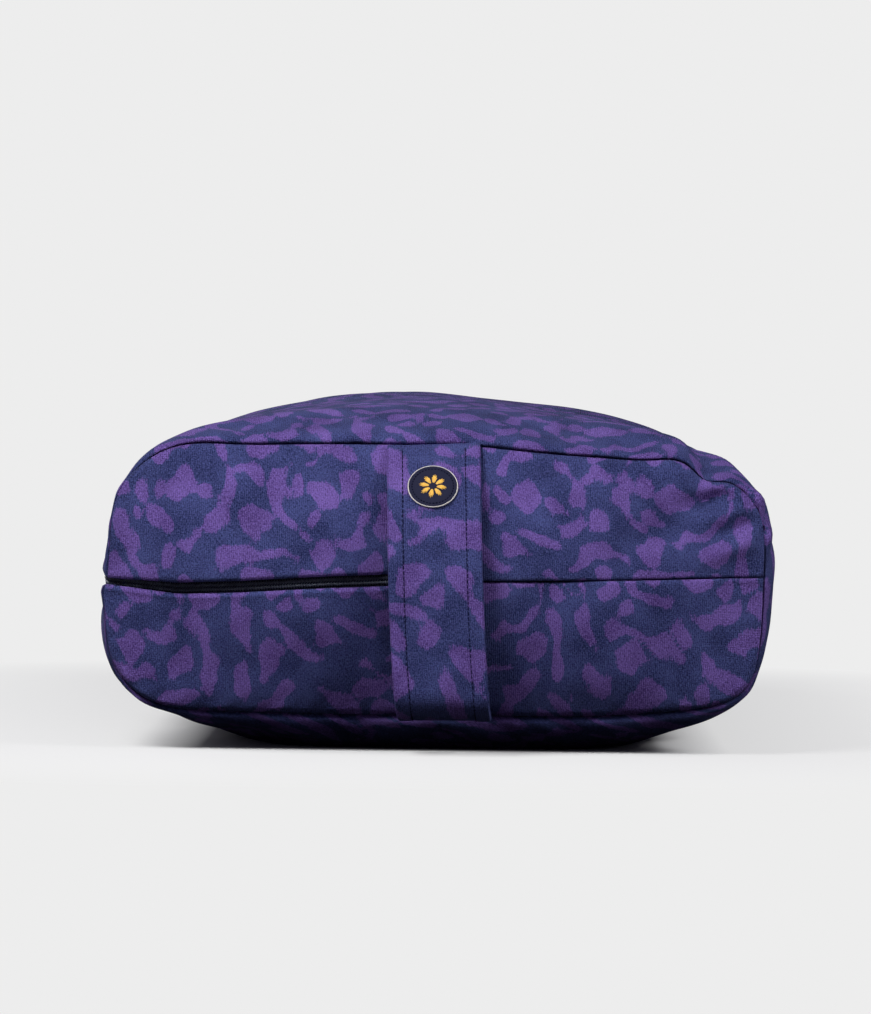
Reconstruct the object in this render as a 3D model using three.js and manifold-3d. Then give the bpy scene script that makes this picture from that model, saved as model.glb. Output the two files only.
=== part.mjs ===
// A rectangular yoga bolster with a zip and a cloth handle on its near end panel.
// Millimetres, +Z up. The near end panel faces -Y, and the bolster lies along Y on its flat underside.
import * as THREE from "three";
import { mergeVertices } from "three/addons/utils/BufferGeometryUtils.js";
import Module from "manifold-3d";

const wasm = await Module();
wasm.setup();

// Filled wrap, between its two end seams
const SEAM_SPAN = 624;
const END_WIDTH = 305;
const END_HEIGHT = 126;
const END_LIFT = 17; // the lower end seam hangs this far above the floor
const MIDDLE_WIDTH = 322;
const MIDDLE_HEIGHT = 166;
const PRESSED_IN = 12; // how far the floor flattens the middle's round underside
const SWELL_POWER = 4; // a higher one keeps the full section closer to the ends
const HOLLOW_CORE = 0.3; // hollows fade out towards this share of an end's half height, near the axis

// How square each quarter of the section is, counted from +X over the top: 2 is an ellipse.
const QUARTERS = [
  { quarter: "upper right", atSeam: 3.4, atMiddle: 2.7 },
  { quarter: "upper left", atSeam: 5.4, atMiddle: 2.4 },
  { quarter: "lower left", atSeam: 4.0, atMiddle: 2.5 },
  { quarter: "lower right", atSeam: 4.8, atMiddle: 2.5 },
];

// Soft hollows in the filling: turn from +X over the top, place along the bolster (-1 near, 1 far).
const HOLLOWS = [
  { turn: 36, along: -0.99, turnReach: 14, alongReach: 0.05, depth: 3.5 },
  { turn: 0, along: -1.0, turnReach: 24, alongReach: 0.03, depth: 3.0 },
  { turn: 12, along: -0.72, turnReach: 9, alongReach: 0.08, depth: 1.5 },
  { turn: 52, along: -0.35, turnReach: 17, alongReach: 0.6, depth: 8.0 },
  { turn: 164, along: -0.86, turnReach: 20, alongReach: 0.12, depth: 4.0 },
  { turn: 146, along: 0.15, turnReach: 20, alongReach: 0.2, depth: 2.5 },
  { turn: 128, along: 0.86, turnReach: 18, alongReach: 0.16, depth: 4.0 },
  { turn: 40, along: 0.55, turnReach: 22, alongReach: 0.2, depth: 3.0 },
];

// End panels
const END_CROWN = 17;
const CROWN_POWER = 2.4;
const SHEET = 2;
const GAP = 0.4; // between a panel and the filled wrap behind it
const HALF_SEAM = 0.25; // each panel half stops this far from the plain middle seam
const ZIP_EDGE = 4.6; // and this far where the zip shows

// Zip, with offsets measured outwards from the wrap's surface
const ZIP_START_X = 6; // behind the handle
const ZIP_ALONG_SIDE = 250;
const ZIP_BEND = 16; // where the zip leaves the front and joins the side, before and after the corner
const TAPE = { half: 5.0, inner: -3.7, outer: -2.7 };
const COIL = { from: 0.2, to: 3.0, inner: -2.4, outer: -0.4 };
const CHANNEL = { half: 5.3, inner: -4.0, outer: 14, pastEnd: 0.5 };
const SIDE_SEAM = { half: 0.8, inner: -2.0, outer: 8, pastZip: 4, pastEnd: 3 };
const CORNER_OUT = 3; // the zip's bend is drawn towards a point this far outside the corner
const EDGES_MEET = { from: 2, to: 20 }; // behind the handle the panel halves close up between these two X

// Handle, caught in the upper and lower seam of the near end panel
const HANDLE_WIDTH = 44;
const HANDLE_THICK = 3;
const HANDLE_TOP_X = 1;
const HANDLE_BOTTOM_X = 8;
const HANDLE_STAND = 36; // inner face from the seam's plane, at its furthest
const HANDLE_FULL_Z = 72; // the height at which it stands furthest out
const HANDLE_TUCK = 1.2; // its ends stop this far inside the seam's outline
const HANDLE_CLEAR = 0.35;

const BADGE_RADIUS = 12;
const BADGE_THICK = 1.2;
const BADGE_Z = 121.5;
const BADGE_CLEAR = 0.3;

// Mesh steps
const COLUMNS = 28; // across an end panel; a ring has twice as many points
const RINGS = 24; // from seam to seam
const UPPER_ROWS = [0, 0.3, 0.55, 0.76, 0.91, 1]; // from the middle seam up to the outline
const LOWER_ROWS = [-1, -0.91, -0.76, -0.55, -0.3, 0];
const ALL_ROWS = [...LOWER_ROWS, ...UPPER_ROWS.slice(1)];
const HANDLE_STEPS = 22;

// Worked out
const AXIS_Z = END_LIFT + END_HEIGHT / 2;
const NEAR_Y = -SEAM_SPAN / 2;
const FAR_REACH = SEAM_SPAN / 2 + END_CROWN + GAP + SHEET;
const NEAR_REACH = SEAM_SPAN / 2 + HANDLE_STAND + HANDLE_THICK;

const COLOURS = { cloth: 0x3f3470, zip: 0x0e1018, badge: 0x1b1f3c };

const v2 = (x, y) => new THREE.Vector2(x, y);
const v3 = (x, y, z) => new THREE.Vector3(x, y, z);
const mix = (a, b, share) => a + (b - a) * share;
const bell = (distance, reach) => Math.exp(-((distance / reach) ** 2));
const steps = (from, to, count) => Array.from({ length: count + 1 }, (_, i) => mix(from, to, i / count));

function signedPower(value, power) {
  return Math.abs(value) < 1e-9 ? 0 : Math.sign(value) * Math.abs(value) ** power;
}

// 0 at the end seams and 1 in the middle; along runs from -1 to 1.
function swell(along) {
  return Math.sqrt(Math.max(0, 1 - Math.abs(along) ** SWELL_POWER));
}

function section(along) {
  const s = swell(along);
  return {
    halfWidth: mix(END_WIDTH / 2, MIDDLE_WIDTH / 2, s),
    up: mix(END_HEIGHT / 2, MIDDLE_HEIGHT - AXIS_Z, s),
    down: mix(END_HEIGHT / 2, AXIS_Z + PRESSED_IN, s),
    powers: QUARTERS.map((q) => mix(q.atSeam, q.atMiddle, s)),
  };
}

// The section's outline at a turn from +X over the top, as x and height over the axis, before any hollow.
function outline(turn, along) {
  const { halfWidth, up, down, powers } = section(along);
  const power = powers[Math.floor(turn / (Math.PI / 2)) % 4];
  const x = halfWidth * signedPower(Math.cos(turn), 2 / power);
  const rise = signedPower(Math.sin(turn), 2 / power);
  return { x, h: rise * (rise > 0 ? up : down) };
}

// Presses a point towards the axis by the hollows near it and stops it at the floor.
function settled(x, y, h) {
  const turn = THREE.MathUtils.radToDeg(Math.atan2(h, x));
  const along = THREE.MathUtils.clamp(y / (SEAM_SPAN / 2), -1, 1);
  const distance = Math.hypot(x, h);
  let depth = 0;
  for (const hollow of HOLLOWS) {
    const near = bell(turn - hollow.turn, hollow.turnReach) * bell(along - hollow.along, hollow.alongReach);
    depth += hollow.depth * near;
  }
  const edge = THREE.MathUtils.smoothstep(distance / (END_HEIGHT / 2), HOLLOW_CORE, 1);
  const kept = distance > 0 ? 1 - (depth * edge) / distance : 1;
  return v3(x * kept, y, Math.max(0, AXIS_Z + h * kept));
}

// How far an end panel stands out from its seam's plane.
function crown(x, h) {
  const quarter = (h >= 0 ? 0 : 2) + (x >= 0 === h >= 0 ? 0 : 1);
  const power = QUARTERS[quarter].atSeam;
  const across = Math.abs(x) / (END_WIDTH / 2);
  const upright = Math.abs(h) / (END_HEIGHT / 2);
  const out = (across ** power + upright ** power) ** (1 / power);
  return END_CROWN * (1 - Math.min(1, out) ** CROWN_POWER);
}

// A point of an end's cap: column 0 is at +X, share runs from the middle seam (0) to the outline (1 or -1).
function capPoint(column, share) {
  const turn = (Math.PI * column) / COLUMNS;
  const upper = outline(turn, 1);
  const lower = outline(2 * Math.PI - turn, 1);
  const middleX = (upper.x + lower.x) / 2;
  const edge = share >= 0 ? upper : lower;
  return { x: mix(middleX, edge.x, Math.abs(share)), h: edge.h * Math.abs(share) };
}

// A cap point lifted off the wrap's end; side is -1 for the near end and 1 for the far end.
function capSurface(point, side, lift) {
  return settled(point.x, side * (SEAM_SPAN / 2 + crown(point.x, point.h) + lift), point.h);
}

// Adds the corners of two triangles, leaving out one that has shrunk to a line.
function quad(corners, a, b, c, d) {
  for (const triangle of [[a, b, c], [a, c, d]]) {
    const [p, q, r] = triangle;
    const area = q.clone().sub(p).cross(r.clone().sub(p)).length();
    if (area > 1e-6) corners.push(...triangle);
  }
}

function geometryOf(corners) {
  const geometry = new THREE.BufferGeometry().setFromPoints(corners);
  geometry.computeVertexNormals();
  return geometry;
}

// Quads over a grid of points, turned over where the sheet is seen from its other side.
function skin(corners, grid, turned) {
  for (let i = 0; i + 1 < grid.length; i++) {
    for (let j = 0; j + 1 < grid[i].length; j++) {
      const [a, b, c, d] = [grid[i][j], grid[i + 1][j], grid[i + 1][j + 1], grid[i][j + 1]];
      if (turned) quad(corners, a, d, c, b);
      else quad(corners, a, b, c, d);
    }
  }
}

// A closed sheet between two grids of the same size.
function sheetBetween(inner, outer, turned) {
  const corners = [];
  skin(corners, outer, turned);
  skin(corners, inner, !turned);
  const last = inner.length - 1;
  const rim = (grid) => [
    ...grid.map((column) => column[0]),
    ...grid[last].slice(1),
    ...grid.slice(0, last).reverse().map((column) => column.at(-1)),
    ...grid[0].slice(1, -1).reverse(),
  ];
  const [low, high] = [rim(inner), rim(outer)];
  low.forEach((point, i) => {
    const next = (i + 1) % low.length;
    if (turned) quad(corners, high[i], high[next], low[next], point);
    else quad(corners, point, low[next], high[next], high[i]);
  });
  return geometryOf(corners);
}

function solidOf(geometry) {
  const bare = geometry.index ? geometry.toNonIndexed() : geometry.clone();
  bare.deleteAttribute("normal");
  bare.deleteAttribute("uv");
  const merged = mergeVertices(bare, 1e-4);
  const vertProperties = merged.attributes.position.array;
  const triVerts = new Uint32Array(merged.index.array);
  return new wasm.Manifold(new wasm.Mesh({ numProp: 3, vertProperties, triVerts }));
}

function geometryFrom(solid) {
  const { vertProperties, triVerts } = solid.getMesh();
  const geometry = new THREE.BufferGeometry();
  geometry.setAttribute("position", new THREE.BufferAttribute(vertProperties, 3));
  geometry.setIndex(new THREE.BufferAttribute(triVerts, 1));
  return geometry.toNonIndexed();
}

// The filled wrap without its channels: rings from seam to seam, closed by a crowned cap at each end.
function filledWrap() {
  const corners = [];
  const rings = steps(0, Math.PI, RINGS).map((swing) => {
    const along = -Math.cos(swing);
    return steps(0, 2 * Math.PI, 2 * COLUMNS).map((turn) => {
      const { x, h } = outline(turn, along);
      return settled(x, (along * SEAM_SPAN) / 2, h);
    });
  });
  skin(corners, rings, false);
  for (const side of [-1, 1]) {
    const cap = steps(0, COLUMNS, COLUMNS).map((column) =>
      ALL_ROWS.map((share) => capSurface(capPoint(column, share), side, 0)),
    );
    skin(corners, cap, side < 0);
  }
  return geometryOf(corners);
}

// The wrap's surface at the height of the middle seam, from behind the handle round to the left side.
const frontY = (x) => NEAR_Y - crown(x, 0);
const leftX = (y) => -section(y / (SEAM_SPAN / 2)).halfWidth;

function zipPath(pastEnd) {
  const endY = NEAR_Y + ZIP_ALONG_SIDE + pastEnd;
  const front = steps(ZIP_START_X + pastEnd, -END_WIDTH / 2 + ZIP_BEND, 10).map((x) => v2(x, frontY(x)));
  const side = steps(NEAR_Y + ZIP_BEND, endY, 9).map((y) => v2(leftX(y), y));
  const corner = v2(-END_WIDTH / 2 - CORNER_OUT, NEAR_Y);
  const bend = new THREE.QuadraticBezierCurve(front.at(-1), corner, side[0]).getPoints(6);
  return [...front, ...bend.slice(1, -1), ...side];
}

function sideSeamPath() {
  const startY = NEAR_Y + ZIP_ALONG_SIDE + SIDE_SEAM.pastZip;
  return steps(startY, SEAM_SPAN / 2 - SIDE_SEAM.pastEnd, 10).map((y) => v2(leftX(y), y));
}

// The path moved outwards, to the left of its direction.
function offsetPath(path, distance) {
  return path.map((point, i) => {
    const before = path[Math.max(0, i - 1)];
    const after = path[Math.min(path.length - 1, i + 1)];
    const along = after.clone().sub(before).normalize();
    return v2(point.x - along.y * distance, point.y + along.x * distance);
  });
}

// A strip that follows the path at the middle seam's height, between two offsets and two heights.
function strip(path, { inner, outer }, low, high) {
  const band = new THREE.Shape([...offsetPath(path, inner), ...offsetPath(path, outer).reverse()]);
  const geometry = new THREE.ExtrudeGeometry(band, { depth: high - low, bevelEnabled: false });
  return geometry.translate(0, 0, AXIS_Z + low);
}

function bodyGeometry() {
  const channel = strip(zipPath(CHANNEL.pastEnd), CHANNEL, -CHANNEL.half, CHANNEL.half);
  const sideSeam = strip(sideSeamPath(), SIDE_SEAM, -SIDE_SEAM.half, SIDE_SEAM.half);
  const grooved = solidOf(filledWrap()).subtract(solidOf(channel));
  return geometryFrom(grooved.subtract(solidOf(sideSeam)));
}

// How far a near panel half stays from the middle seam: wider along the zip.
function seamClearance(x) {
  return mix(ZIP_EDGE, HALF_SEAM, THREE.MathUtils.smoothstep(x, EDGES_MEET.from, EDGES_MEET.to));
}

// A panel over the given rows of an end; the near end's halves leave room for the zip or their seam.
function panel(rows, side) {
  const parted = rows === UPPER_ROWS ? 1 : rows === LOWER_ROWS ? -1 : 0;
  const layer = (lift) =>
    steps(1, COLUMNS - 1, COLUMNS - 2).map((column) =>
      rows.map((share) => {
        const point = capPoint(column, share);
        if (share === 0) point.h = parted * seamClearance(point.x);
        return capSurface(point, side, lift);
      }),
    );
  return sheetBetween(layer(GAP), layer(GAP + SHEET), side < 0);
}

// The handle's inner face: how far it stands out from the seam's plane at a height.
function handleStand(z) {
  const above = z > HANDLE_FULL_Z;
  const reach = above ? AXIS_Z + END_HEIGHT / 2 - HANDLE_FULL_Z : HANDLE_FULL_Z - END_LIFT;
  const arch = HANDLE_STAND * (1 - (Math.abs(z - HANDLE_FULL_Z) / reach) ** (above ? 2 : 3));
  return Math.max(arch, crown(0, z - AXIS_Z) + GAP + SHEET + HANDLE_CLEAR);
}

// The direction in which the handle's inner face is lifted to reach its outer face, at a height.
function handleOutwards(z) {
  const step = 0.5;
  const growth = handleStand(z + step) - handleStand(z - step);
  return v3(0, -2 * step, -growth).normalize();
}

const handleX = (z) => mix(HANDLE_BOTTOM_X, HANDLE_TOP_X, (z - END_LIFT) / END_HEIGHT);

function handleGeometry() {
  const low = END_LIFT + HANDLE_TUCK;
  const high = END_LIFT + END_HEIGHT - HANDLE_TUCK;
  const layer = (lift) =>
    [-1, 1].map((side) =>
      steps(0, Math.PI, HANDLE_STEPS).map((swing) => {
        const z = mix(low, high, (1 - Math.cos(swing)) / 2);
        const seat = v3(handleX(z) + (side * HANDLE_WIDTH) / 2, NEAR_Y - handleStand(z), z);
        return seat.addScaledVector(handleOutwards(z), lift);
      }),
    );
  return sheetBetween(layer(0), layer(HANDLE_THICK), false);
}

function badgeMesh() {
  const outwards = handleOutwards(BADGE_Z);
  const seat = v3(handleX(BADGE_Z), NEAR_Y - handleStand(BADGE_Z), BADGE_Z);
  const geometry = new THREE.CylinderGeometry(BADGE_RADIUS, BADGE_RADIUS, BADGE_THICK, 28);
  const mesh = named("badge", geometry, COLOURS.badge, 0.6);
  mesh.quaternion.setFromUnitVectors(v3(0, 1, 0), outwards);
  mesh.position.copy(seat).addScaledVector(outwards, HANDLE_THICK + BADGE_CLEAR + BADGE_THICK / 2);
  return mesh;
}

function named(name, geometry, color, roughness) {
  const mesh = new THREE.Mesh(geometry, new THREE.MeshStandardMaterial({ color, roughness, metalness: 0 }));
  mesh.name = name;
  return mesh;
}

const bolster = new THREE.Group();
bolster.position.y = (NEAR_REACH - FAR_REACH) / 2;
bolster.add(
  named("body", bodyGeometry(), COLOURS.cloth, 0.9),
  named("end_panel_upper", panel(UPPER_ROWS, -1), COLOURS.cloth, 0.9),
  named("end_panel_lower", panel(LOWER_ROWS, -1), COLOURS.cloth, 0.9),
  named("far_end_panel", panel(ALL_ROWS, 1), COLOURS.cloth, 0.9),
  named("zip_tape", strip(zipPath(0), TAPE, -TAPE.half, TAPE.half), COLOURS.zip, 0.8),
  named("zip_coil_upper", strip(zipPath(0), COIL, COIL.from, COIL.to), COLOURS.zip, 0.5),
  named("zip_coil_lower", strip(zipPath(0), COIL, -COIL.to, -COIL.from), COLOURS.zip, 0.5),
  named("handle_strap", handleGeometry(), COLOURS.cloth, 0.9),
  badgeMesh(),
);

export default bolster;
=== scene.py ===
import math

import bpy
import numpy as np
from mathutils import Matrix, Vector


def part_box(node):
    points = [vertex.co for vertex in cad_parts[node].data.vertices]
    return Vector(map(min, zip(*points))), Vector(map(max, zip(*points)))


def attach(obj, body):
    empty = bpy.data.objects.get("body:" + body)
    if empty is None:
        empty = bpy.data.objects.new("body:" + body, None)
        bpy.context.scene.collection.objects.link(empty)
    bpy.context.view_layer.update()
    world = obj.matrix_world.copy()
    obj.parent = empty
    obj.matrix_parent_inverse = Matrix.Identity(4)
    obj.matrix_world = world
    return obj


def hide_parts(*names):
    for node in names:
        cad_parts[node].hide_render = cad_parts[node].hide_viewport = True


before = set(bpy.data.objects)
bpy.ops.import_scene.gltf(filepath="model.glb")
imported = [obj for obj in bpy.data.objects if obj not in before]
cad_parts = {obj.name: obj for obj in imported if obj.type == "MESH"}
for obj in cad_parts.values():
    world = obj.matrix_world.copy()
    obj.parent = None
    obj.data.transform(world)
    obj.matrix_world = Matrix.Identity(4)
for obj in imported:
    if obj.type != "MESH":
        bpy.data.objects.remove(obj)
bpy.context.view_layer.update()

# Shapes are worked out in millimetres, in the frame's own axes, and turned into metres when a mesh is made.
MM = 0.001


def box_mm(node):
    low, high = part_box(node)
    return np.array(low) / MM, np.array(high) / MM


# The filled form, as the frame has it
GAP = 0.4
SHEET = 2.0
NEAR_SEAM = box_mm("end_panel_upper")[1][1] + GAP
FAR_SEAM = box_mm("far_end_panel")[0][1] - GAP
MIDDLE_Y = (NEAR_SEAM + FAR_SEAM) / 2
SPAN = FAR_SEAM - NEAR_SEAM
HALF_SPAN = SPAN / 2
# Half width and half height at an end's seam, and half width in the middle
HALF_WIDE = 152.5
HALF_TALL = 63.0
MIDDLE_HALF_WIDE = 161.0
END_LIFT = 17.0
AXIS_Z = END_LIFT + HALF_TALL
RISE = box_mm("body")[1][2] - AXIS_Z
FALL = AXIS_Z + 12.0
SWELL_POWER = 4
END_CROWN = 17.0
CROWN_POWER = 2.4

# How square each quarter of a section is, counted from +X over the top: 2 is an ellipse.
AT_SEAM = np.array([3.4, 5.4, 4.0, 4.8])
AT_MIDDLE = np.array([2.7, 2.4, 2.5, 2.5])

# Soft hollows in the filling: turn from +X over the top in degrees, place along it from -1 (near) to 1,
# reach in turn, reach along, and depth.
HOLLOWS = [
    (36, -0.99, 14, 0.05, 3.5),
    (0, -1.0, 24, 0.03, 3.0),
    (12, -0.72, 9, 0.08, 1.5),
    (52, -0.35, 17, 0.6, 8.0),
    (164, -0.86, 20, 0.12, 4.0),
    (146, 0.15, 20, 0.2, 2.5),
    (128, 0.86, 18, 0.16, 4.0),
    (40, 0.55, 22, 0.2, 3.0),
]

# Places where the cloth is drawn aside: centre, reach and move. A centre's middle number, here and in
# the folds, is its distance behind the near seam.
NUDGES = [
    ((-118, 0, 143), (24, 60, 16), (0, 0, 3.8)),
    ((-143, 0, 128), (15, 60, 15), (1.2, 0, -0.8)),
    ((-152, 0, 104), (12, 14, 26), (-0.9, 0, 0)),
    ((-128, 0, 30), (34, 44, 20), (-2.2, 0, -6.2)),
    ((111, 0, 134), (12, 16, 12), (0, 0, 3.0)),
    ((148, 0, 118), (15, 44, 17), (3.8, 0, 3.6)),
    ((126, 0, 129), (9, 12, 11), (-1.5, 4.0, -2.6)),
    ((154, 0, 74), (12, 60, 48), (1.2, 0, 0)),
    ((154, 0, 82), (10, 12, 40), (2.4, 0, 0)),
    ((134, 0, 122), (9, 13, 9), (-0.5, 0, 2.6)),
    ((147, 0, 120), (8, 24, 9), (-1.0, 0, -0.2)),
    ((116, 26, 143), (34, 24, 22), (1.5, 0, 5.0)),
    ((138, 0, 28), (24, 40, 18), (3.4, 0, -3.2)),
    ((108, -110 - NEAR_SEAM, 156), (32, 165, 26), (0, 0, -8.0)),
    ((-112, 50, 152), (32, 55, 24), (0, 0, -3.2)),
    ((150, 32, 124), (18, 32, 18), (-2.6, 0, -2.0)),
    ((158, 45, 46), (16, 40, 30), (-1.8, 0, 0)),
    ((-158, 45, 104), (20, 32, 28), (3.4, 0, 0)),
    ((158, 45, 56), (16, 36, 36), (-4.0, 0, 0)),
    ((142, 48, 18), (36, 38, 26), (-7.0, 0, 4.5)),
    ((-128, 48, 10), (34, 38, 18), (6.0, 0, 3.0)),
    ((-157, 20, 112), (14, 15, 28), (5.4, 0, 0)),
    ((-157, 16, 52), (14, 13, 26), (2.6, 0, 0)),
    ((-136, 16, 20), (26, 13, 18), (2.4, 0, 2.2)),
    ((-150, 0, 54), (12, 60, 26), (-1.4, 0, 0)),
    ((-155, 12, 87), (8, 9, 6), (-3.6, 0, 0)),
    ((-153, 0, 74), (8, 16, 7), (-1.6, 0, 0)),
    ((-158, 50, 77), (14, 36, 9), (3.4, 0, 0)),
]

# Height of the near end's middle seam over its plain line, at places across the end
SAG_X = [-153, -140, -119, -90, -50, -20, 26, 90, 149]
SAG_Z = [-2.0, -2.9, -4.6, -3.4, -0.8, 0.6, 0.5, 1.6, 3.2]
SAG_REACH = 26
SAG_DEPTH = 40
RIDGE = 5.0
RIDGE_REACH = 30

# Soft folds along a line: start, end, width, and how far they rise, or sink under 0
FOLDS = [
    ((70, 0, 128), (126, 0, 125), 8, 2.0),
    ((121, 0, 117), (135, 0, 117), 5, -8.5),
    ((127, 0, 111), (148, 0, 116), 5, 3.4),
    ((126, 0, 88), (152, 0, 101), 5, 3.2),
    ((128, 0, 99), (150, 0, 108), 4.5, -2.8),
    ((84, 0, 92), (122, 0, 112), 9, -3.0),
    ((112, 0, 46), (146, 0, 40), 12, -1.2),
    ((-140, 0, 128), (-118, 0, 108), 9, -1.4),
    ((-132, 0, 100), (-104, 0, 116), 11, 1.2),
    ((-96, 0, 112), (-70, 0, 96), 14, -1.6),
    ((-17, 0, 126), (-15, 0, 34), 8, -4.5),
    ((-140, 0, 52), (-112, 0, 40), 11, -1.2),
    ((126, 2, 130), (120, 46, 150), 8, -4.5),
    ((140, 6, 124), (134, 60, 142), 9, 1.2),
    ((-128, 3, 142), (-110, 70, 150), 9, -1.4),
    ((60, 4, 147), (72, 90, 158), 13, -0.9),
    ((-40, 4, 147), (-56, 80, 160), 14, -0.8),
    ((118, SPAN - 2, 136), (104, SPAN - 80, 150), 11, -1.8),
    ((-120, SPAN - 2, 134), (-112, SPAN - 70, 150), 11, -1.6),
    ((152, SPAN - 2, 96), (158, SPAN - 70, 100), 10, -1.4),
]

# Grooves at the seams: depth, reach and power
END_ROLL = (2.0, 1.2, 1.3)
PANEL_ROLL = (2.6, 1.0, 1.3)
MIDDLE_ROLL = (1.6, 0.6, 1.3)
FOLD_ROLL = (2.2, 0.7, 1.15)
SIDE_ROLL = (1.9, 1.5, 1.4)
PANEL_INSET = 0.55

# Settling of the wrap's cloth: its ease over the filling, the filling's pressure, and the move's limit
CLOTH_ROWS = 90
CLOTH_AROUND = 120
CLOTH_FRAMES = 20
CLOTH_EASE = 0.02
CLOTH_PRESSURE = 1.0
CLOTH_LIMIT = 1.6

# Zip
ZIP_START_X = 6.0
ZIP_ALONG_SIDE = 250.0
ZIP_BEND = 16.0
CORNER_OUT = 3.0
# Round the corner the zip is pushed out towards the cloth's surface
CORNER_PUSH = 2.6
CORNER_PUSH_AT = 14.0
CORNER_PUSH_REACH = 16.0
SLIT_HALF = 2.75
CORNER_SLIT_HALF = 1.6
PLAIN_HALF = 0.25
SLIT_DEPTH = 7.0
CORNER_DEEPER = 1.5
SLIT_LIP = 0.5
EDGES_MEET = (2.0, 20.0)
TAPE_HALF = 5.0
TAPE_OFFSETS = (-5.4, -4.6)
TOOTH_PITCH = 1.25

# Handle
HANDLE_WIDTH = 43.2
HANDLE_THICK = 3.0
HANDLE_TOP_X = -1.8
HANDLE_BOTTOM_X = 5.2
HANDLE_BOW = 1.7
HANDLE_STAND = 36.0
HANDLE_FULL_Z = 72.0
HANDLE_CLEAR = 0.35
HANDLE_LOW = END_LIFT + 1.2
HANDLE_HIGH = END_LIFT + 2 * HALF_TALL - 1.2
STITCH_INSET = 7.1

BADGE_X = 0.6
BADGE_Z = 121.6
BADGE_CLEAR = 0.3

# Mesh steps
WRAP_ROWS = 262
WRAP_AROUND = 296
SLIT_STEPS = np.array([1.0, 1.8, 2.4, 2.8, 3.1, 3.4, 3.8, 4.4, 5.4, 7.0, 9.2, 11.6])

# The photograph's view of the near end
PHOTO_SIZE = (871, 1014)
AIM = Vector((0, -0.330, 0.080))
VIEW_AZIMUTH = math.radians(0.6)
VIEW_ELEVATION = math.radians(2.0)
VIEW_DISTANCE = 2.2
VIEW_UP = math.radians(0.897)
VIEW_ROLL = math.radians(0.64)
FOCAL_PIXELS = 4814
SENSOR = 36.0


def mix(a, b, share):
    return a + (b - a) * share


def bell(distance, reach):
    return np.exp(-((distance / reach) ** 2))


def smooth(value, low, high):
    t = np.clip((value - low) / (high - low), 0, 1)
    return t * t * (3 - 2 * t)


def unit(vectors):
    return vectors / np.linalg.norm(vectors, axis=-1, keepdims=True)


def groove(distance, depth, reach, power):
    return depth * np.exp(-((np.abs(distance) / reach) ** power))


def ripples(points, wave, seed, count=9):
    """A smooth uneven field over points, about 1 high, with features about a wave apart."""
    draw = np.random.default_rng(seed)
    total = np.zeros(points.shape[:-1])
    for _ in range(count):
        direction = unit(draw.normal(size=points.shape[-1]))
        length = wave * draw.uniform(0.75, 1.5)
        phase = draw.uniform(0, 2 * math.pi)
        total += np.sin(points @ direction * (2 * math.pi / length) + phase)
    return total / math.sqrt(count / 2)


def graded(length, fine, coarse, reach):
    """Distances from 0 to length, in fine steps near both ends that grow to coarse ones at the reach."""
    half = [0.0]
    while half[-1] < length / 2:
        half.append(half[-1] + mix(fine, coarse, smooth(half[-1], 0, reach)))
    half = np.array(half) * (length / 2 / half[-1])
    return np.concatenate([half, length - half[-2::-1]])


def swell(along):
    return np.sqrt(np.maximum(0, 1 - np.abs(along) ** SWELL_POWER))


def half_width(along):
    return mix(HALF_WIDE, MIDDLE_HALF_WIDE, swell(along))


def outline(angle, along):
    """A section's outline at an angle from +X over the top, as x and height over the axis."""
    s = swell(along)
    quarter = np.floor(angle / (math.pi / 2)).astype(int) % 4
    power = mix(AT_SEAM[quarter], AT_MIDDLE[quarter], s)
    reach = np.where(np.sin(angle) >= 0, mix(HALF_TALL, RISE, s), mix(HALF_TALL, FALL, s))
    across = np.abs(np.cos(angle) / half_width(along)) ** power
    upright = np.abs(np.sin(angle) / reach) ** power
    out = (across + upright) ** (-1 / power)
    return np.cos(angle) * out, np.sin(angle) * out


def settled(x, y, h):
    """Presses points towards the axis by the hollows near them and stops them at the floor."""
    turn = np.degrees(np.arctan2(h, x))
    along = np.clip((y - MIDDLE_Y) / HALF_SPAN, -1, 1)
    distance = np.hypot(x, h)
    depth = 0
    for at_turn, at_along, turn_reach, along_reach, sunk in HOLLOWS:
        near = bell(turn - at_turn, turn_reach)
        depth = depth + sunk * near * bell(along - at_along, along_reach)
    edge = smooth(distance / HALF_TALL, 0.3, 1)
    kept = 1 - depth * edge / np.maximum(distance, 1e-6)
    return np.stack([x * kept, y + 0 * x, np.maximum(0, AXIS_Z + h * kept)], -1)


def end_norm(x, h):
    """0 in an end's middle and 1 on its seam, with the growth of it for each millimetre outwards."""
    quarter = np.where(h >= 0, np.where(x >= 0, 0, 1), np.where(x < 0, 2, 3))
    power = AT_SEAM[quarter]
    across = np.abs(x) / HALF_WIDE
    upright = np.abs(h) / HALF_TALL
    norm = np.maximum((across**power + upright**power) ** (1 / power), 1e-6)
    slope = np.hypot(across ** (power - 1) / HALF_WIDE, upright ** (power - 1) / HALF_TALL)
    return norm, np.maximum(slope * norm ** (1 - power), 1e-4)


def crown(x, h):
    return END_CROWN * (1 - np.minimum(1, end_norm(x, h)[0]) ** CROWN_POWER)


def seam_distance(x, h):
    norm, growth = end_norm(x, h)
    return np.maximum(0, 1 - norm) / growth


def seam_show(x, h):
    """How strongly the near end's seam is drawn in: less at both sides, where it lies flat."""
    return 1 - 0.8 * smooth(np.abs(x), 0.93 * HALF_WIDE, HALF_WIDE) * smooth(np.abs(h), 58, 42)


def ridge(x, h):
    """How far the near end stands out more along its middle seam."""
    return RIDGE * bell(h, RIDGE_REACH) * smooth(seam_distance(x, h), 0, 50)


def behind_near(place):
    """A place given as X, distance behind the near seam and Z, in the frame's axes."""
    x, behind, z = place
    return np.array([x, NEAR_SEAM + behind, z])


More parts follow.
